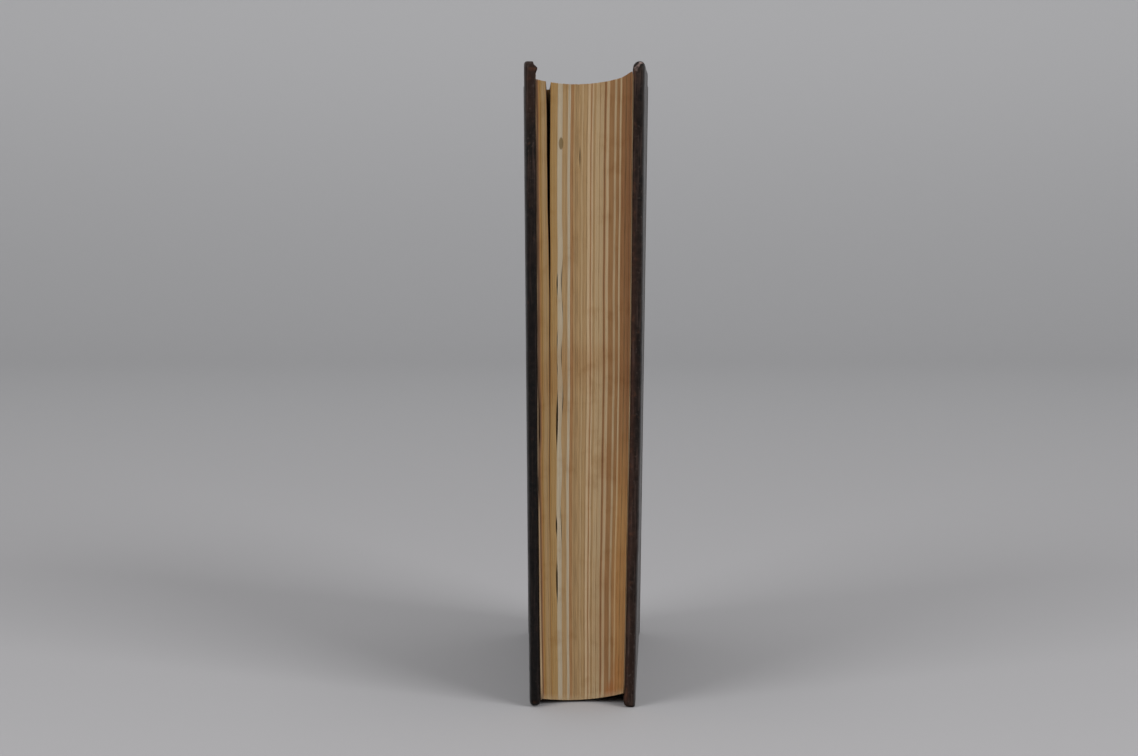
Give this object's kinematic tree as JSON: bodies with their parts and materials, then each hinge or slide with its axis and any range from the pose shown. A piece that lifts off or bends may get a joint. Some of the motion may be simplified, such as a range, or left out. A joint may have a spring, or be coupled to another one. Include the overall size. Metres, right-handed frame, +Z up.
{
  "type": "leather-bound book",
  "caption": "Upright antique leather-bound book with a hollow fore-edge, sagging leaves, raised bands on the spine and covers that open on leather joints.",
  "frame": {"origin": "centre of the book's outline on the surface it stands on", "axes": "+Z up from tail to head, -Y towards the fore-edge, -X towards the front cover"},
  "size_m": [0.0504, 0.1582, 0.2301],
  "materials": {
    "leather": "satin",
    "board": "matte",
    "leaves": "matte",
    "endpaper": "matte",
    "cord": "matte",
    "lining": "matte"
  },
  "bodies": {
    "book_block": {"text_block": "leaves", "front_free_endpaper": "endpaper", "back_free_endpaper": "endpaper", "sewing_cords": "cord", "spine_linings": "lining", "spine_leather": "leather"},
    "front_cover": {"front_board": "board", "front_cover_leather": "leather", "front_pastedown": "endpaper"},
    "back_cover": {"back_board": "board", "back_cover_leather": "leather", "back_pastedown": "endpaper"}
  },
  "joints": [
    {"name": "front_cover_joint", "type": "hinge", "parent": "book_block", "child": "front_cover", "pos_m": [-0.02276, 0.06789, 0], "axis": [0.0073, 0, -1], "range_deg": [0, 170]},
    {"name": "back_cover_joint", "type": "hinge", "parent": "book_block", "child": "back_cover", "pos_m": [0.02148, 0.06789, 0], "axis": [0.0129, 0, 0.9999], "range_deg": [0, 170]}
  ]
}
